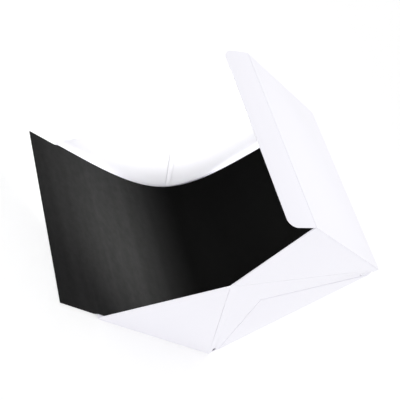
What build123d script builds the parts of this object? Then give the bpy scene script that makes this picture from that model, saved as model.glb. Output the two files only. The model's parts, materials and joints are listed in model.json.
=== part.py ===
"""Collapsible tabletop photo light box with a black sweep backdrop sheet.

The shell is thin polypropylene panels on scored hinges. It folds flat downwards like a
bellows: the back creases at mid-height, and the two walls of each side fold inwards.

Frame: origin at the centre of the floor panel's underside, +Z up, +Y to the back,
open front facing -Y. Units are millimetres.
"""

import os
from math import cos, radians, sin

from build123d import *

# Driving dimensions of the erected shell, outside to outside
WIDTH = 230.0
DEPTH = 226.0
HEIGHT = 240.0
ROOF_DEPTH = 175.0
PANEL = 1.6  # panel thickness
HINGE_GAP = 0.4  # clear gap at a scored hinge
SPINE = 3.0  # the back's hinges stand off floor and roof by this, to make room for the stack

# Side wall outline: the open edge kinks inwards to this point
KINK_BACK = 145.5  # distance forward of the rear face
KINK_Z = 118.5
WALL_REAR_GAP = 3.0  # walls stop this far short of the rear face
FOLD_REACH = 112.8  # height of a folding wall, just short of the middle of the box
WEB_GAP = 0.4  # clear gap between the rear web and the two folding walls

# Rear corner tabs, welded over the outside of the rear webs
TAB = 0.5
TAB_GAP = 0.1
TAB_REACH = 78.0
TAB_END_INSET = 12.0

# Relief slots, open, one at each end of a corner tab
RELIEF_WIDTH = 4.0
RELIEF_BACK = 5.0  # distance of a slot's middle from the rear face
TOP_RELIEF_LENGTH = 16.0
TOP_RELIEF_DROP = 12.5  # below the top of the side wall
TOP_RELIEF_TILT = 57.0
BOTTOM_RELIEF_LENGTH = 8.0
BOTTOM_RELIEF_RISE = 9.0  # above the bottom of the side wall
BOTTOM_RELIEF_TILT = -57.0

# Scored hinges
SCORE = 0.8  # thickness left at a score

# Visor
VISOR_LENGTH = 32.0
VISOR_SLOPE = 30.0
VISOR_CORNER = 11.0

# Backdrop sheet
SHEET_WIDTH = 218.0
SHEET_SHIFT = 2.0  # the sheet hangs slightly to the right of centre
SHEET = 0.8
SHEET_TOP_Z = 233.0
SWEEP_RUN = 179.0  # the sheet leaves the floor this far in front of the back wall
SWEEP_RISE = 148.0  # and meets the back wall this far above the floor
FLOOR_PULL = 0.915  # shares of the run and the rise that set how tight the bend is
WALL_PULL = 0.81
SHEET_LIFT = 0.2  # clearance under the sheet
OVERHANG_LEFT = 48.0
OVERHANG_RIGHT = 60.0
DROOP_RUN = 14.0  # forward run in which the sheet comes down to the table

# Hook and loop pads
PAD = 1.0  # thickness of one pad
PAD_LENGTH = 22.0
PAD_HEIGHT = 16.0
PAD_CORNER = 3.0
PAD_DROP = 14.0  # of a pad's middle below the sheet's top edge
PAD_SPREAD = 80.0  # of a pad's middle from the middle of the box

# Lamp bar under the visor
BAR_LENGTH = 200.0
BAR_WIDTH = 10.0
BAR_DEPTH = 5.2
BAR_WALL = 0.8
BAR_ALONG_VISOR = 17.0
TAPE = 0.5
LAMPS = 20
CHIP_LENGTH, CHIP_WIDTH, CHIP_HEIGHT = 3.5, 2.8, 0.8
RESISTOR_LENGTH, RESISTOR_WIDTH, RESISTOR_HEIGHT = 2.0, 1.2, 0.5
BOARD = 1.0
BOARD_END_GAP = 6.0
BOARD_SIDE_GAP = 0.2
DIFFUSER = 1.0
DIFFUSER_SIDE_GAP = 0.1
CAP = 3.0
SOCKET_WIDTH, SOCKET_HEIGHT, SOCKET_LENGTH, SOCKET_WALL = 7.6, 2.8, 6.0, 0.3
TONGUE_BASE = 1.2
TONGUE_WIDTH = 4.6
TONGUE_THICKNESS = 0.6
TONGUE_LENGTH = 5.0

# Places worked out from the dimensions above
half_w = WIDTH / 2
rear = DEPTH / 2
front = -DEPTH / 2
roof_front = rear - ROOF_DEPTH
roof_under = HEIGHT - PANEL
wall_inner = half_w - PANEL
back_face = rear - PANEL
wall_bottom = PANEL + HINGE_GAP
wall_top = roof_under - HINGE_GAP
wall_rear = rear - WALL_REAR_GAP
kink = (rear - KINK_BACK, KINK_Z)
back_bottom = PANEL + SPINE
back_top = roof_under - SPINE
back_half_w = wall_inner - HINGE_GAP
crease_z = (back_bottom + back_top) / 2

os.makedirs("parts", exist_ok=True)


def save(solid, label):
    """Labels one finished piece and writes its file."""
    solid.label = label
    export_step(solid, f"parts/{label}.step")


def along(start, end, share):
    """The point that lies this share of the way from start to end."""
    return tuple(a + (b - a) * share for a, b in zip(start, end))


# ---------------------------------------------------------------- floor, back and roof
with BuildPart() as floor_panel:
    with BuildSketch(Plane.XY):
        Rectangle(WIDTH, DEPTH)
    extrude(amount=PANEL)
save(floor_panel.part, "floor_panel")

with BuildPart() as back_lower_panel:
    with BuildSketch(Plane.XZ.offset(-rear)):
        with Locations((0, back_bottom)):
            Rectangle(2 * back_half_w, crease_z - HINGE_GAP / 2 - back_bottom,
                      align=(Align.CENTER, Align.MIN))
    extrude(amount=PANEL)
save(back_lower_panel.part, "back_lower_panel")

with BuildPart() as back_upper_panel:
    with BuildSketch(Plane.XZ.offset(-rear)):
        with Locations((0, back_top)):
            Rectangle(2 * back_half_w, back_top - crease_z - HINGE_GAP / 2,
                      align=(Align.CENTER, Align.MAX))
    extrude(amount=PANEL)
save(back_upper_panel.part, "back_upper_panel")

with BuildPart() as roof_panel:
    with BuildSketch(Plane.XY.offset(roof_under)):
        with Locations((0, rear)):
            Rectangle(WIDTH, ROOF_DEPTH, align=(Align.CENTER, Align.MAX))
    extrude(amount=PANEL)
save(roof_panel.part, "roof_panel")

# ---------------------------------------------------------------- side walls
lower_front, lower_rear = (front, wall_bottom), (wall_rear, wall_bottom)
upper_front, upper_rear = (roof_front, wall_top), (wall_rear, wall_top)
lower_share = FOLD_REACH / (KINK_Z - wall_bottom)
upper_share = FOLD_REACH / (wall_top - KINK_Z)
lower_outline = [
    lower_front,
    lower_rear,
    along(lower_rear, kink, lower_share),
    along(lower_front, kink, lower_share),
]
upper_outline = [
    upper_front,
    along(upper_front, kink, upper_share),
    along(upper_rear, kink, upper_share),
    upper_rear,
]
side_outline = [lower_front, (rear, wall_bottom), (rear, wall_top), upper_front, kink]
tab_outline = [
    (rear, wall_bottom + TAB_END_INSET),
    (rear, wall_top - TAB_END_INSET),
    (rear - TAB_REACH, crease_z),
]
relief_slots = [
    (wall_top - TOP_RELIEF_DROP, TOP_RELIEF_TILT, TOP_RELIEF_LENGTH),
    (wall_bottom + BOTTOM_RELIEF_RISE, BOTTOM_RELIEF_TILT, BOTTOM_RELIEF_LENGTH),
]


def relief_cuts():
    """Slots at the roots of the corner tab, which stop the scored hinge from tearing."""
    for height, tilt, length in relief_slots:
        with Locations((rear - RELIEF_BACK, height)):
            SlotOverall(length, RELIEF_WIDTH, rotation=tilt, mode=Mode.SUBTRACT)


for side, inner_x, outer_x in (("left", -half_w, -half_w - TAB_GAP - TAB),
                               ("right", wall_inner, half_w + TAB_GAP)):
    with BuildPart() as lower_wall:
        with BuildSketch(Plane.YZ.offset(inner_x)):
            Polygon(*lower_outline, align=None)
        extrude(amount=PANEL)
    save(lower_wall.part, f"{side}_lower_wall")

    with BuildPart() as upper_wall:
        with BuildSketch(Plane.YZ.offset(inner_x)):
            Polygon(*upper_outline, align=None)
        extrude(amount=PANEL)
    save(upper_wall.part, f"{side}_upper_wall")

    with BuildPart() as rear_web:
        with BuildSketch(Plane.YZ.offset(inner_x)):
            Polygon(*side_outline, align=None)
            with BuildSketch(Plane.XY, mode=Mode.PRIVATE) as lower_cut:
                Polygon(*lower_outline, align=None)
                offset(amount=WEB_GAP, kind=Kind.INTERSECTION)
            with BuildSketch(Plane.XY, mode=Mode.PRIVATE) as upper_cut:
                Polygon(*upper_outline, align=None)
                offset(amount=WEB_GAP, kind=Kind.INTERSECTION)
            add(lower_cut.sketch, mode=Mode.SUBTRACT)
            add(upper_cut.sketch, mode=Mode.SUBTRACT)
            relief_cuts()
        extrude(amount=PANEL)
    save(rear_web.part, f"{side}_rear_web")

    with BuildPart() as rear_tab:
        with BuildSketch(Plane.YZ.offset(outer_x)):
            Polygon(*tab_outline, align=None)
            relief_cuts()
        extrude(amount=TAB)
    save(rear_tab.part, f"{side}_rear_tab")

# ---------------------------------------------------------------- visor
slope = radians(VISOR_SLOPE)
visor_root = (0, roof_front - HINGE_GAP, roof_under)
visor_outer_normal = (0, -sin(slope), cos(slope))
visor_plane = Plane(origin=visor_root, x_dir=(1, 0, 0), z_dir=visor_outer_normal)

with BuildPart() as visor_panel:
    with BuildSketch(visor_plane):
        Rectangle(WIDTH, VISOR_LENGTH, align=(Align.CENTER, Align.MAX))
        fillet(vertices().group_by(Axis.Y)[0], radius=VISOR_CORNER)
    extrude(amount=PANEL)
save(visor_panel.part, "visor_panel")

# ---------------------------------------------------------------- scored hinge strips
strip_x = half_w - SCORE


def strip(label, low, high):
    """One straight hinge strip, given by its lowest and highest corners."""
    with BuildPart() as hinge:
        with BuildSketch(Plane.XY.offset(low[2])):
            with Locations((low[0], low[1])):
                Rectangle(high[0] - low[0], high[1] - low[1], align=(Align.MIN, Align.MIN))
        extrude(amount=high[2] - low[2])
    save(hinge.part, label)


strip("floor_back_hinge", (-back_half_w, rear - SCORE, PANEL),
      (back_half_w, rear, back_bottom))
strip("back_middle_hinge", (-back_half_w, rear - SCORE, crease_z - HINGE_GAP / 2),
      (back_half_w, rear, crease_z + HINGE_GAP / 2))
strip("back_roof_hinge", (-back_half_w, rear - SCORE, back_top),
      (back_half_w, rear, roof_under))
strip("visor_hinge", (-half_w, roof_front - HINGE_GAP, roof_under),
      (half_w, roof_front, roof_under + SCORE))
for side, low_x in (("left", -half_w), ("right", strip_x)):
    strip(f"{side}_floor_hinge", (low_x, front, PANEL),
          (low_x + SCORE, wall_rear, wall_bottom))
    strip(f"{side}_roof_hinge", (low_x, roof_front, wall_top),
          (low_x + SCORE, wall_rear, roof_under))

# ---------------------------------------------------------------- backdrop sheet
sheet_rear = back_face - 2 * PAD - SHEET / 2  # middle of the sheet's thickness on the back
sheet_floor = PANEL + SHEET_LIFT + SHEET / 2
sheet_table = SHEET / 2
sheet_front = front - OVERHANG_RIGHT
sweep_top = sheet_floor + SWEEP_RISE
sweep_front = sheet_rear - SWEEP_RUN

with BuildPart() as backdrop_sheet:
    with BuildSketch(Plane.YZ.offset(SHEET_SHIFT - SHEET_WIDTH / 2)):
        with BuildLine():
            Line((sheet_rear, SHEET_TOP_Z), (sheet_rear, sweep_top))
            Bezier(
                (sheet_rear, sweep_top),
                (sheet_rear, sweep_top - WALL_PULL * SWEEP_RISE),
                (sweep_front + FLOOR_PULL * SWEEP_RUN, sheet_floor),
                (sweep_front, sheet_floor),
            )
            Polyline(
                (sweep_front, sheet_floor),
                (front, sheet_floor),
                (front - DROOP_RUN, sheet_table),
                (sheet_front, sheet_table),
            )
        trace(line_width=SHEET)
    extrude(amount=SHEET_WIDTH)
    with BuildSketch(Plane.XY):
        Polygon(
            (SHEET_SHIFT - SHEET_WIDTH / 2, sheet_front - SHEET),
            (SHEET_SHIFT + SHEET_WIDTH / 2, sheet_front - SHEET),
            (SHEET_SHIFT + SHEET_WIDTH / 2, sheet_front),
            (SHEET_SHIFT - SHEET_WIDTH / 2, front - OVERHANG_LEFT),
            align=None,
        )
    extrude(amount=2 * PANEL, both=True, mode=Mode.SUBTRACT)
save(backdrop_sheet.part, "backdrop_sheet")

pad_z = SHEET_TOP_Z - PAD_DROP
pad_places = [(-PAD_SPREAD, pad_z), (PAD_SPREAD, pad_z)]
for label, pad_rear in (("hook_pads", back_face), ("loop_pads", back_face - PAD)):
    with BuildPart() as pads:
        with BuildSketch(Plane.XZ.offset(-pad_rear)):
            with Locations(*pad_places):
                RectangleRounded(PAD_LENGTH, PAD_HEIGHT, PAD_CORNER)
        extrude(amount=PAD)
    save(pads.part, label)

# ---------------------------------------------------------------- lamp bar under the visor
bar_plane = Plane(
    origin=(
        0,
        visor_root[1] - BAR_ALONG_VISOR * cos(slope),
        visor_root[2] - BAR_ALONG_VISOR * sin(slope),
    ),
    x_dir=(1, 0, 0),
    z_dir=(0, sin(slope), -cos(slope)),
)  # local z points away from the visor, into the box
bore_width = BAR_WIDTH - 2 * BAR_WALL
board_length = BAR_LENGTH - 2 * BOARD_END_GAP
board_width = bore_width - 2 * BOARD_SIDE_GAP
board_top = TAPE + BAR_WALL + BOARD
lamp_pitch = board_length / LAMPS
bar_end = BAR_LENGTH / 2 + CAP  # outer face of an end cap


def bar_block(low_z, depth, length, width, at_x=0.0):
    """A block that lies along the lamp bar."""
    with BuildSketch(bar_plane.offset(low_z), mode=Mode.PRIVATE) as block:
        with Locations((at_x, 0)):
            Rectangle(length, width)
    extrude(block.sketch, amount=depth)


with BuildPart() as lamp_bar_tape:
    bar_block(0, TAPE, BAR_LENGTH, bore_width)
save(lamp_bar_tape.part, "lamp_bar_tape")

with BuildPart() as lamp_channel:
    bar_block(TAPE, BAR_DEPTH, BAR_LENGTH, BAR_WIDTH)
    with BuildSketch(bar_plane.offset(TAPE + BAR_WALL)):
        Rectangle(BAR_LENGTH, bore_width)
    extrude(amount=BAR_DEPTH, mode=Mode.SUBTRACT)
save(lamp_channel.part, "lamp_channel")

with BuildPart() as lamp_board:
    bar_block(TAPE + BAR_WALL, BOARD, board_length, board_width)
save(lamp_board.part, "lamp_board")

with BuildPart() as lamp_chips:
    with BuildSketch(bar_plane.offset(board_top)):
        with GridLocations(lamp_pitch, 1, LAMPS, 1):
            Rectangle(CHIP_LENGTH, CHIP_WIDTH)
    extrude(amount=CHIP_HEIGHT)
save(lamp_chips.part, "lamp_chips")

with BuildPart() as lamp_resistors:
    with BuildSketch(bar_plane.offset(board_top)):
        with GridLocations(2 * lamp_pitch, 1, LAMPS // 2 - 1, 1):
            Rectangle(RESISTOR_LENGTH, RESISTOR_WIDTH)
    extrude(amount=RESISTOR_HEIGHT)
save(lamp_resistors.part, "lamp_resistors")

with BuildPart() as lamp_diffuser:
    bar_block(TAPE + BAR_DEPTH - DIFFUSER, DIFFUSER, BAR_LENGTH,
              bore_width - 2 * DIFFUSER_SIDE_GAP)
save(lamp_diffuser.part, "lamp_diffuser")

with BuildPart() as left_bar_cap:
    bar_block(TAPE, BAR_DEPTH, CAP, BAR_WIDTH, at_x=CAP / 2 - bar_end)
save(left_bar_cap.part, "left_bar_cap")

socket_low = TAPE + (BAR_DEPTH - SOCKET_HEIGHT) / 2
socket_mid_x = bar_end - SOCKET_LENGTH / 2

with BuildPart() as right_bar_cap:
    bar_block(TAPE, BAR_DEPTH, CAP, BAR_WIDTH, at_x=bar_end - CAP / 2)
    with BuildSketch(bar_plane.offset(socket_low)):
        with Locations((socket_mid_x, 0)):
            Rectangle(2 * SOCKET_LENGTH, SOCKET_WIDTH)
    extrude(amount=SOCKET_HEIGHT, mode=Mode.SUBTRACT)
save(right_bar_cap.part, "right_bar_cap")

with BuildPart() as socket_shell:
    bar_block(socket_low, SOCKET_HEIGHT, SOCKET_LENGTH, SOCKET_WIDTH, at_x=socket_mid_x)
    with BuildSketch(bar_plane.offset(socket_low + SOCKET_WALL)):
        with Locations((socket_mid_x, 0)):
            Rectangle(2 * SOCKET_LENGTH, SOCKET_WIDTH - 2 * SOCKET_WALL)
    extrude(amount=SOCKET_HEIGHT - 2 * SOCKET_WALL, mode=Mode.SUBTRACT)
save(socket_shell.part, "socket_shell")

with BuildPart() as socket_tongue:
    bar_block(socket_low + SOCKET_WALL, SOCKET_HEIGHT - 2 * SOCKET_WALL, TONGUE_BASE,
              SOCKET_WIDTH - 2 * SOCKET_WALL, at_x=bar_end - SOCKET_LENGTH + TONGUE_BASE / 2)
    bar_block(socket_low + (SOCKET_HEIGHT - TONGUE_THICKNESS) / 2, TONGUE_THICKNESS,
              TONGUE_LENGTH, TONGUE_WIDTH,
              at_x=bar_end - SOCKET_LENGTH + TONGUE_LENGTH / 2)
save(socket_tongue.part, "socket_tongue")
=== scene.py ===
"""Looks of the folding tabletop photo box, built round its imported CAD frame."""

import json
import math

import bpy
from mathutils import Euler, Matrix, Vector
from mathutils.geometry import interpolate_bezier


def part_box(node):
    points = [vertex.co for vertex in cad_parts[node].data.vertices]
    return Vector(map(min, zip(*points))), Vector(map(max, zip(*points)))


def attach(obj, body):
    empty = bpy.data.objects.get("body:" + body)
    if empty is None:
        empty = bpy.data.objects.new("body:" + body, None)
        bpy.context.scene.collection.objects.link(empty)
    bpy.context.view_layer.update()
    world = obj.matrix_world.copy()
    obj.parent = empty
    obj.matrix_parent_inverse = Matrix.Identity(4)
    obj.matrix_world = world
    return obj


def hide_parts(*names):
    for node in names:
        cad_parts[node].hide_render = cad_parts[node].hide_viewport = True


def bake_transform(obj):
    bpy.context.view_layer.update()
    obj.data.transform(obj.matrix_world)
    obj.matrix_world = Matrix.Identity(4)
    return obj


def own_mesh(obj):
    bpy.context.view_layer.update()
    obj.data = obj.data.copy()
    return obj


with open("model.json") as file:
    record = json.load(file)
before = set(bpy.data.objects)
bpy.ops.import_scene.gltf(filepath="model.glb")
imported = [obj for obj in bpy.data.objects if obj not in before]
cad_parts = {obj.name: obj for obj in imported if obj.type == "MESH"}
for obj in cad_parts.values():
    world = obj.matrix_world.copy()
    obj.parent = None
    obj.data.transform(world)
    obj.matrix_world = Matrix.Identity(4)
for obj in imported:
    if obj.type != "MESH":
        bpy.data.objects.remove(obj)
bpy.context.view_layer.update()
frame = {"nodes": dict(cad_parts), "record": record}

# ---------------------------------------------------------------- camera
# A long lens from the front right, above the roof. The camera is rolled well over to its
# side, so the box appears to stand on its right rear corner.
CAMERA_PLACE = (0.4792, -0.8243, 0.4591)
CAMERA_AZIMUTH = math.radians(31.06)
CAMERA_ELEVATION = math.radians(20.35)
CAMERA_ROLL = math.radians(60.18)
CAMERA_LENS = 78.7
CAMERA_SENSOR = 36.0

camera_data = bpy.data.cameras.new("camera")
camera_data.lens = CAMERA_LENS
camera_data.sensor_width = CAMERA_SENSOR
camera = bpy.data.objects.new("camera", camera_data)
bpy.context.scene.collection.objects.link(camera)
aim = Euler((math.pi / 2 - CAMERA_ELEVATION, 0, CAMERA_AZIMUTH)).to_matrix()
turned = aim @ Matrix.Rotation(CAMERA_ROLL, 3, "Z")
camera.matrix_world = Matrix.Translation(CAMERA_PLACE) @ turned.to_4x4()
bpy.context.scene.camera = camera

# ---------------------------------------------------------------- table and light
# A pale seamless table under a bright, even studio sky. A broad soft box hangs above and
# behind, a weaker one stands in front, and a small one under the roof lights the sheet; that
# one leaves out the roof and the visor.
TABLE_SIZE = 12.0
TABLE_SPOTS = 3.0  # per metre
TABLE_DULL = (0.985, 0.985, 0.985)
TABLE_BRIGHT = (0.99, 0.99, 0.99)
TABLE_GLOW = 0.03
SKY_STRENGTH = 0.985
BOX_MIDDLE = (0, 0, 0.1)
TOP_PLACE, TOP_SIDE, TOP_POWER = (-0.2, 0.75, 1.4), 1.2, 2.4
FRONT_PLACE, FRONT_SIDE, FRONT_POWER = (0.9, -1.3, 0.8), 0.9, 0.3
STAGE_PLACE, STAGE_SIDE, STAGE_POWER = (0.05, -0.080, 0.165), 0.05, 0.66
STAGE_AIM = (-0.113, 0.085, 0.095)
STAGE_TINT = (0.99, 1.0, 0.955)


def new_material(name, colour, roughness):
    """A material with its main shader, and the nodes and links to build on."""
    material = bpy.data.materials.new(name)
    material.use_nodes = True
    nodes = material.node_tree.nodes
    shader = nodes["Principled BSDF"]
    shader.inputs["Base Color"].default_value = (*colour, 1)
    shader.inputs["Roughness"].default_value = roughness
    return material, nodes, material.node_tree.links, shader


def noise_at(nodes, links, scale, detail=3.0, stretch=(1, 1, 1)):
    """Noise on object coordinates, its scale in spots per metre."""
    place = nodes.new("ShaderNodeTexCoord")
    mapping = nodes.new("ShaderNodeMapping")
    mapping.inputs["Scale"].default_value = stretch
    noise = nodes.new("ShaderNodeTexNoise")
    noise.inputs["Scale"].default_value = scale
    noise.inputs["Detail"].default_value = detail
    links.new(place.outputs["Object"], mapping.inputs["Vector"])
    links.new(mapping.outputs["Vector"], noise.inputs["Vector"])
    return noise


def tint_by(nodes, links, noise, shader, low, high):
    """The noise varies the colour gently between two tints."""
    ramp = nodes.new("ShaderNodeValToRGB")
    ramp.color_ramp.elements[0].position = 0.3
    ramp.color_ramp.elements[0].color = (*low, 1)
    ramp.color_ramp.elements[1].position = 0.7
    ramp.color_ramp.elements[1].color = (*high, 1)
    links.new(noise.outputs["Fac"], ramp.inputs["Fac"])
    links.new(ramp.outputs["Color"], shader.inputs["Base Color"])


bpy.ops.object.select_all(action="DESELECT")
bpy.ops.mesh.primitive_plane_add(size=TABLE_SIZE, location=(0, 0, 0))
table = bpy.context.object
table.name = "table"
table_white, nodes, links, shader = new_material("table_white", (0.97, 0.97, 0.97), 0.8)
tint_by(nodes, links, noise_at(nodes, links, TABLE_SPOTS), shader, TABLE_DULL, TABLE_BRIGHT)
shader.inputs["Emission Color"].default_value = (1.0, 1.0, 1.0, 1)
shader.inputs["Emission Strength"].default_value = TABLE_GLOW
table.data.materials.append(table_white)

world = bpy.data.worlds.new("studio_sky")
world.use_nodes = True
world.node_tree.nodes["Background"].inputs["Color"].default_value = (1.0, 1.0, 1.0, 1)
world.node_tree.nodes["Background"].inputs["Strength"].default_value = SKY_STRENGTH
bpy.context.scene.world = world
bpy.context.scene.view_settings.view_transform = "Standard"

roof_side = bpy.data.collections.new("roof_side")  # what the stage light leaves out


def soft_box(name, place, aim_at, side, power, colour=(1.0, 1.0, 1.0)):
    """One square soft light, aimed at a point."""
    light = bpy.data.lights.new(name, "AREA")
    light.size = side
    light.color = colour
    light.energy = power
    lamp = bpy.data.objects.new(name, light)
    bpy.context.scene.collection.objects.link(lamp)
    lamp.location = place
    lamp.rotation_euler = (Vector(aim_at) - Vector(place)).to_track_quat("-Z", "Y").to_euler()
    return lamp


soft_box("top_light", TOP_PLACE, BOX_MIDDLE, TOP_SIDE, TOP_POWER)
soft_box("front_light", FRONT_PLACE, BOX_MIDDLE, FRONT_SIDE, FRONT_POWER)
stage_lamp = soft_box("stage_light", STAGE_PLACE, STAGE_AIM, STAGE_SIDE, STAGE_POWER, STAGE_TINT)
stage_lamp.visible_camera = False
stage_lamp.light_linking.receiver_collection = roof_side

# ---------------------------------------------------------------- shell panels
# The shell is thin white polypropylene sheet, die-cut and scored. Its faces carry a very
# fine leather grain and its cut edges are slightly rounded.
PANEL_EDGE = 0.00035
CREASE_EDGE = 0.00004
EDGE_SEGMENTS = 2
EDGE_FROM = math.radians(35)  # corners sharper than this are rounded
SMOOTH_BELOW = math.radians(30)
FLAT_WITHIN = math.radians(1)
MERGE_WITHIN = 0.000001
SHELL_TINT = (0.898, 0.888, 0.944)
SHELL_DULL = (0.893, 0.884, 0.943)
SHELL_BRIGHT = (0.903, 0.894, 0.952)
SCORED_TINT = (0.900, 0.892, 0.945)
SHELL_CLOUDS = 9.0  # per metre, as are the two grains
SHELL_GRAIN = 1800.0
SCORED_GRAIN = 900.0


def bump_by(nodes, links, noise, shader, strength, distance):
    """The noise raises the surface; distance is the height in metres."""
    bump = nodes.new("ShaderNodeBump")
    bump.inputs["Strength"].default_value = strength
    bump.inputs["Distance"].default_value = distance
    links.new(noise.outputs["Fac"], bump.inputs["Height"])
    links.new(bump.outputs["Normal"], shader.inputs["Normal"])


def grained(name, colour, roughness, spots, strength, height, detail=3.0, stretch=(1, 1, 1)):
    """A material with a fine raised grain, and its main shader."""
    material, nodes, links, shader = new_material(name, colour, roughness)
    bump_by(nodes, links, noise_at(nodes, links, spots, detail, stretch), shader, strength, height)
    return material, shader


shell_white, nodes, links, shader = new_material("shell_white", SHELL_TINT, 0.42)
shader.inputs["Specular IOR Level"].default_value = 0.35
tint_by(nodes, links, noise_at(nodes, links, SHELL_CLOUDS, 2.0), shader, SHELL_DULL, SHELL_BRIGHT)
bump_by(nodes, links, noise_at(nodes, links, SHELL_GRAIN, 4.0), shader, 0.25, 0.00012)
scored_white, shader = grained("scored_white", SCORED_TINT, 0.5, SCORED_GRAIN, 0.3, 0.0001, 2.0)


def bevelled_copy(node, name, material, edge):
    """A copy of a CAD node's shape with clean faces and rounded edges, which replaces it."""
    source = frame["nodes"][node]
    piece = bpy.data.objects.new(name, source.data.copy())
    bpy.context.scene.collection.objects.link(piece)
    piece.data.materials.clear()
    piece.data.materials.append(material)
    bpy.ops.object.select_all(action="DESELECT")
    piece.select_set(True)
    bpy.context.view_layer.objects.active = piece
    bpy.ops.object.mode_set(mode="EDIT")
    bpy.ops.mesh.select_all(action="SELECT")
    bpy.ops.mesh.remove_doubles(threshold=MERGE_WITHIN)
    bpy.ops.mesh.dissolve_limited(angle_limit=FLAT_WITHIN)
    bpy.ops.object.mode_set(mode="OBJECT")
    bevel = piece.modifiers.new("edge", "BEVEL")
    bevel.width = edge
    bevel.segments = EDGE_SEGMENTS
    bevel.limit_method = "ANGLE"
    bevel.angle_limit = EDGE_FROM
    bpy.ops.object.modifier_apply(modifier="edge")
    bpy.ops.object.shade_smooth_by_angle(angle=SMOOTH_BELOW)
    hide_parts(node)
    return piece


def body_with(node):
    """The name of the body that a CAD node belongs to."""
    bodies = frame["record"]["behaviour"]["bodies"]
    return next(body for body, members in bodies.items() if node in members)


PLAIN_PANELS = (
    "floor_panel", "back_lower_panel", "back_upper_panel", "roof_panel", "visor_panel",
    "left_lower_wall", "left_upper_wall", "right_lower_wall", "right_upper_wall",
)
for node in PLAIN_PANELS:
    edge = CREASE_EDGE if "wall" in node else PANEL_EDGE
    name = node.replace("_panel", "_sheet").replace("_wall", "_side")
    panel = bevelled_copy(node, name, shell_white, edge)
    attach(panel, body_with(node))
    if node in ("roof_panel", "visor_panel"):
        roof_side.objects.link(panel)
        roof_side.collection_objects[-1].light_linking.link_state = "EXCLUDE"

# ---------------------------------------------------------------- rear webs and corner tabs
# Between its two creases each side wall is a soft web that crumples as the box folds. The
# back's triangular corner tab is welded over it, with a relief slot at each end.
WEB_GAP = 0.0004  # between the web and each folding wall
LIP_RECESS = 0.00002  # the crease lies this far below both faces
CREASE_REACH = 0.975  # share of the way from the rear corner to the kink
KINK_BACK = 0.1455  # distance forward of the rear face
RELIEF_EDGE = 0.00004
TAB_EDGE = 0.00018
WELD_DRAW = 0.00009
WELD_REACH = 0.004  # the weld ends this far above the tab's middle

floor_low, floor_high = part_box("floor_panel")
for side, sign in (("left", -1), ("right", 1)):
    lower_low, lower_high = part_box(f"{side}_lower_wall")
    upper_low, upper_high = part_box(f"{side}_upper_wall")
    web = bevelled_copy(f"{side}_rear_web", f"{side}_web", shell_white, RELIEF_EDGE)
    reach_in, reach_out = sorted((abs(lower_low.x), abs(lower_high.x)))
    lip_inner = sign * (reach_in + LIP_RECESS)
    lip_outer = sign * (reach_out - LIP_RECESS)
    kink = Vector((0, floor_high.y - KINK_BACK, (lower_high.z + upper_low.z) / 2))
    for corner_y, corner_z, up in ((lower_high.y, lower_low.z, 1), (upper_high.y, upper_high.z, -1)):
        first = Vector((0, corner_y, corner_z))
        last = first.lerp(kink, CREASE_REACH)
        across = (last - first).normalized().cross(Vector((1, 0, 0))) * WEB_GAP
        across *= up if across.z > 0 else -up
        bpy.ops.object.select_all(action="DESELECT")
        bpy.ops.mesh.primitive_cube_add(size=1)
        lip = bpy.context.object
        for vertex in lip.data.vertices:
            along = first if vertex.co.y < 0 else last
            shift = across if vertex.co.z > 0 else Vector((0, 0, 0))
            x = lip_outer if vertex.co.x > 0 else lip_inner
            vertex.co = Vector((x, (along + shift).y, (along + shift).z))
        bpy.ops.object.mode_set(mode="EDIT")
        bpy.ops.mesh.select_all(action="SELECT")
        bpy.ops.mesh.normals_make_consistent(inside=False)
        bpy.ops.object.mode_set(mode="OBJECT")
        lip.data.materials.append(scored_white)
        web.select_set(True)
        bpy.context.view_layer.objects.active = web
        bpy.ops.object.join()
    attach(web, "floor")
    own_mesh(web)

    # The weld draws the tab's lower half tight on the web; its upper edge stands off a little.
    tab_low, tab_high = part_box(f"{side}_rear_tab")
    tab = bevelled_copy(f"{side}_rear_tab", f"{side}_corner_tab", shell_white, TAB_EDGE)
    tab_inner = min(abs(tab_low.x), abs(tab_high.x))
    tab_middle = (tab_low.z + tab_high.z) / 2
    for vertex in tab.data.vertices:
        if abs(vertex.co.x) < tab_inner + WELD_DRAW and vertex.co.z < tab_middle + WELD_REACH:
            vertex.co.x = sign * (abs(vertex.co.x) - WELD_DRAW)
    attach(tab, "floor")
    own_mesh(tab)

# ---------------------------------------------------------------- scored hinges
# Where two panels meet, the sheet is scored to about half its thickness, so a thin strip
# of the same plastic bends there.
HINGES = (
    ("floor_back_hinge", "floor", "back_lower", "z"),
    ("back_middle_hinge", "back_lower", "back_upper", "z"),
    ("back_roof_hinge", "back_upper", "roof", "z"),
    ("visor_hinge", "roof", "visor", "-y"),
    ("left_floor_hinge", "floor", "left_lower_wall", "z"),
    ("right_floor_hinge", "floor", "right_lower_wall", "z"),
    ("left_roof_hinge", "roof", "left_upper_wall", "-z"),
    ("right_roof_hinge", "roof", "right_upper_wall", "-z"),
)
HINGE_ROWS = 6

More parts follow.
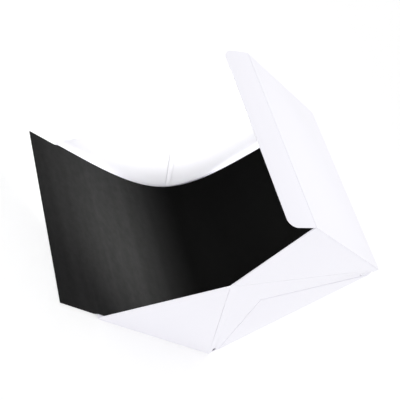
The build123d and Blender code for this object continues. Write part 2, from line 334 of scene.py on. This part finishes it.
for node, fixed_body, moving_body, way in HINGES:
    low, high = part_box(node)
    middle = (low + high) / 2
    bpy.ops.object.select_all(action="DESELECT")
    bpy.ops.mesh.primitive_cube_add(size=1, location=middle)
    hinge = bpy.context.object
    hinge.name = node.replace("_hinge", "_score")
    hinge.scale = high - low
    bpy.ops.object.transform_apply(location=True, rotation=True, scale=True)
    start, end = Vector(middle), Vector(middle)
    axis = 1 if way == "-y" else 2
    start[axis], end[axis] = (high[axis], low[axis]) if way[0] == "-" else (low[axis], high[axis])
    normal = (0, 1, 0) if axis == 1 else (0, 0, 1)
    bpy.ops.object.mode_set(mode="EDIT")
    for row in range(1, HINGE_ROWS):
        place = Vector(middle)
        place[axis] = low[axis] + (high[axis] - low[axis]) * row / HINGE_ROWS
        bpy.ops.mesh.select_all(action="SELECT")
        bpy.ops.mesh.bisect(plane_co=place, plane_no=normal)
    bpy.ops.object.mode_set(mode="OBJECT")
    hinge.data.materials.append(scored_white)
    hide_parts(node)
    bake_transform(hinge)

# ---------------------------------------------------------------- backdrop sheet
# A matt black sheet with a fine mottled face. It hangs from two fastener pads on the back
# wall, sweeps forward in one large curve and runs out over the floor's front edge.
SHEET_WIDTH = 0.218
SHEET_THICKNESS = 0.0008
SHEET_LIFT = 0.0002  # clearance under the sheet
SWEEP_RUN = 0.179
SWEEP_RISE = 0.148
FLOOR_PULL = 0.915
WALL_PULL = 0.81
SWEEP_STEPS = 120
OVERHANG_LEFT = 0.048
OVERHANG_RIGHT = 0.060
DROOP_RUN = 0.006  # past the floor's front edge, where the sheet comes down to the table
SHEET_SHIFT_TOP = 0.0030
SHEET_SHIFT_FRONT = 0.0003
SHEET_ROWS = 150
SHEET_COLUMNS = 44
RIPPLE = 0.0003
RIPPLE_ACROSS = 9.0
RIPPLE_DOWN = 30.0

sheet_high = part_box("backdrop_sheet")[1]
hang_y = sheet_high.y - SHEET_THICKNESS / 2
lie_z = floor_high.z + SHEET_LIFT + SHEET_THICKNESS / 2
table_z = SHEET_THICKNESS / 2
sweep_top = lie_z + SWEEP_RISE
sweep_front = hang_y - SWEEP_RUN
drop_length = sheet_high.z - sweep_top
lie_length = sweep_front - floor_low.y
sweep = interpolate_bezier(
    Vector((hang_y, sweep_top)), Vector((hang_y, sweep_top - WALL_PULL * SWEEP_RISE)),
    Vector((sweep_front + FLOOR_PULL * SWEEP_RUN, lie_z)), Vector((sweep_front, lie_z)),
    SWEEP_STEPS,
)
sweep_length = sum((b - a).length for a, b in zip(sweep, sweep[1:]))


def sheet_point(s):
    """Where the sheet's middle line is at s along it from its top edge, as (y, z)."""
    if s < drop_length:
        return hang_y, sheet_high.z - s
    s -= drop_length
    for start, end in zip(sweep, sweep[1:]):
        step = (end - start).length
        if s < step:
            return tuple(start.lerp(end, s / step))
        s -= step
    y = sweep_front - s
    ease = min(1.0, max(0.0, s - lie_length) / DROOP_RUN)
    return y, lie_z + (table_z - lie_z) * ease * ease * (3 - 2 * ease)


bpy.ops.object.select_all(action="DESELECT")
bpy.ops.mesh.primitive_grid_add(x_subdivisions=SHEET_COLUMNS, y_subdivisions=SHEET_ROWS, size=1)
backdrop = bpy.context.object
backdrop.name = "backdrop"
inside_length = drop_length + sweep_length + lie_length
for vertex in backdrop.data.vertices:
    across, down = vertex.co.x, 0.5 - vertex.co.y
    length = inside_length + OVERHANG_LEFT + (OVERHANG_RIGHT - OVERHANG_LEFT) * (across + 0.5)
    s = down * length
    y, z = sheet_point(s)
    shift = SHEET_SHIFT_TOP + (SHEET_SHIFT_FRONT - SHEET_SHIFT_TOP) * down
    on_wall = max(0.0, 1 - s / drop_length)
    ripple = RIPPLE * on_wall * math.sin(across * RIPPLE_ACROSS) * math.sin(s * RIPPLE_DOWN)
    vertex.co = (across * SHEET_WIDTH + shift, y - abs(ripple), z)
thickness = backdrop.modifiers.new("thickness", "SOLIDIFY")
thickness.thickness = SHEET_THICKNESS
thickness.offset = 0
bpy.ops.object.modifier_apply(modifier="thickness")
bpy.ops.object.mode_set(mode="EDIT")
bpy.ops.mesh.select_all(action="SELECT")
bpy.ops.mesh.normals_make_consistent(inside=False)
bpy.ops.object.mode_set(mode="OBJECT")
bpy.ops.object.shade_smooth_by_angle(angle=SMOOTH_BELOW)

backdrop_black, nodes, links, shader = new_material("backdrop_black", (0.012, 0.012, 0.013), 0.75)
shader.inputs["Specular IOR Level"].default_value = 0.03
# The sheet's tone along its length is painted light and shade: the part on the floor is painted
# lighter, as if lit, most of all just before the curve, and up the curve the tone fades to a painted
# shade, darkest on the hung part.
FRONT_TONE, PAINTED_LIGHT_TONE, CURVE_TONE, PAINTED_SHADE_TONE = 0.0145, 0.0255, 0.0128, 0.0012
PAINTED_SHADE_FORWARD = 0.030  # of the hung part, to where the painted shade is darkest
CURVE_SHARE = 0.42  # of the sweep's run
PAINTED_LIGHT_FORWARD = 0.068  # of the curve's tone, to the lightest painted light
MOTTLE_SPOTS, MOTTLE_LOW, MOTTLE_HIGH = 130.0, 0.72, 1.28
BAND_SPOTS, BAND_LOW, BAND_HIGH = 50.0, 0.70, 1.30
BAND_STRETCH = (0.04, 1, 0.3)
WEAVE_GRAIN = 1400.0
front_y = floor_low.y - OVERHANG_RIGHT
back_y = hang_y - PAINTED_SHADE_FORWARD
curve_y = hang_y - CURVE_SHARE * SWEEP_RUN
painted_light_y = curve_y - PAINTED_LIGHT_FORWARD
tone_stops = (
    (front_y, FRONT_TONE), (painted_light_y, PAINTED_LIGHT_TONE), (curve_y, CURVE_TONE), (back_y, PAINTED_SHADE_TONE),
)
coordinates = nodes.new("ShaderNodeTexCoord")
place = nodes.new("ShaderNodeSeparateXYZ")
links.new(coordinates.outputs["Object"], place.inputs["Vector"])
depth = nodes.new("ShaderNodeMapRange")
depth.inputs["From Min"].default_value = front_y
depth.inputs["From Max"].default_value = back_y
links.new(place.outputs["Y"], depth.inputs["Value"])
# This ramp paints the light and shade along the sheet, lightest on the floor part and darkest on the
# hung part.
light_and_shade_ramp = nodes.new("ShaderNodeValToRGB")
light_and_shade_ramp.color_ramp.interpolation = "CARDINAL"
while len(light_and_shade_ramp.color_ramp.elements) < len(tone_stops):
    light_and_shade_ramp.color_ramp.elements.new(0.5)
for stop, (tone_y, tone) in zip(light_and_shade_ramp.color_ramp.elements, tone_stops):
    stop.position = (tone_y - front_y) / (back_y - front_y)
    stop.color = (tone, tone, tone, 1)
links.new(depth.outputs["Result"], light_and_shade_ramp.inputs["Fac"])
mixed = nodes.new("ShaderNodeMath")
mixed.operation = "MULTIPLY"
for factor, noise, least, most in (
    (mixed.inputs[0], noise_at(nodes, links, MOTTLE_SPOTS, 6.0), MOTTLE_LOW, MOTTLE_HIGH),
    (mixed.inputs[1], noise_at(nodes, links, BAND_SPOTS, 2.0, BAND_STRETCH), BAND_LOW, BAND_HIGH),
):
    spread = nodes.new("ShaderNodeMapRange")
    spread.inputs["To Min"].default_value = least
    spread.inputs["To Max"].default_value = most
    links.new(noise.outputs["Fac"], spread.inputs["Value"])
    links.new(spread.outputs["Result"], factor)
tone = nodes.new("ShaderNodeVectorMath")
tone.operation = "SCALE"
links.new(light_and_shade_ramp.outputs["Color"], tone.inputs[0])
links.new(mixed.outputs["Value"], tone.inputs["Scale"])
links.new(tone.outputs["Vector"], shader.inputs["Base Color"])
bump_by(nodes, links, noise_at(nodes, links, WEAVE_GRAIN, 5.0), shader, 0.5, 0.0002)
backdrop.data.materials.append(backdrop_black)
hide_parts("backdrop_sheet")
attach(backdrop, "floor")
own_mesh(backdrop)

# ---------------------------------------------------------------- fastener pads
# Two white hook pads are stuck to the back wall and two black loop pads to the sheet.
for node, colour, spots in (("hook_pads", (0.80, 0.80, 0.80), 1500.0),
                            ("loop_pads", (0.03, 0.03, 0.03), 900.0)):
    pile, shader = grained(node.replace("pads", "pile"), colour, 0.9, spots, 0.9, 0.0005, 2.0)
    shader.inputs["Sheen Weight"].default_value = 0.4
    frame["nodes"][node].data.materials.clear()
    frame["nodes"][node].data.materials.append(pile)

# ---------------------------------------------------------------- lamp bar
# A thin aluminium channel is taped under the visor. It holds a white board with its lamp
# chips and resistors behind a milky diffuser, between two end caps; the socket is in the
# right cap.
CHANNEL_STRETCH = (0.02, 1, 1)  # the drawing marks run along the bar
DIFFUSER_GLOW = 1.5
DIFFUSER_WARMTH = (1.0, 0.98, 0.94)

channel_metal, shader = grained(
    "channel_metal", (0.80, 0.80, 0.82), 0.35, 400.0, 0.2, 0.0001, 2.0, CHANNEL_STRETCH)
shader.inputs["Metallic"].default_value = 1.0
socket_metal, shader = grained("socket_metal", (0.70, 0.70, 0.72), 0.28, 700.0, 0.1, 0.0001)
shader.inputs["Metallic"].default_value = 1.0
milky, shader = grained("milky", (0.93, 0.93, 0.93), 0.35, 500.0, 0.1, 0.0001)
shader.inputs["Emission Color"].default_value = (*DIFFUSER_WARMTH, 1)
shader.inputs["Emission Strength"].default_value = DIFFUSER_GLOW
resistor_body, shader = grained("resistor_body", (0.03, 0.03, 0.03), 0.4, 1500.0, 0.2, 0.0001)
cap_plastic, shader = grained("cap_plastic", (0.88, 0.88, 0.90), 0.45, 1200.0, 0.3, 0.0001)
tape_foam, shader = grained("tape_foam", (0.70, 0.70, 0.68), 0.9, 1500.0, 0.6, 0.0003)
tongue_black, shader = grained("tongue_black", (0.02, 0.02, 0.02), 0.4, 1500.0, 0.2, 0.0001)
board_lacquer, nodes, links, shader = new_material("board_lacquer", (0.90, 0.90, 0.87), 0.3)
tint_by(nodes, links, noise_at(nodes, links, 300.0), shader, (0.88, 0.88, 0.85), (0.93, 0.93, 0.9))
chip_gel, nodes, links, shader = new_material("chip_gel", (0.95, 0.80, 0.25), 0.25)
tint_by(nodes, links, noise_at(nodes, links, 900.0), shader, (0.92, 0.75, 0.2), (0.97, 0.85, 0.3))

BAR_PIECES = (
    ("lamp_channel", "channel", channel_metal, "lamp_aluminium", 0.0002),
    ("lamp_diffuser", "diffuser", milky, "diffuser_milky", 0.0002),
    ("left_bar_cap", "left_cap", cap_plastic, "cap_white", 0.0005),
    ("right_bar_cap", "right_cap", cap_plastic, "cap_white", 0.0002),
    ("lamp_chips", "chips", chip_gel, "chip_yellow", 0.00015),
    ("lamp_resistors", "resistors", resistor_body, "resistor_black", 0.00008),
    ("lamp_board", "board", board_lacquer, "board_white", 0.0001),
    ("lamp_bar_tape", "bar_tape", tape_foam, "foam_tape", 0.0001),
    ("socket_shell", "socket", socket_metal, "socket_steel", 0.00008),
    ("socket_tongue", "tongue", tongue_black, "socket_black", 0.00008),
)
for node, name, material, slot, edge in BAR_PIECES:
    piece = bevelled_copy(node, name, material, edge)
    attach(piece, "visor")
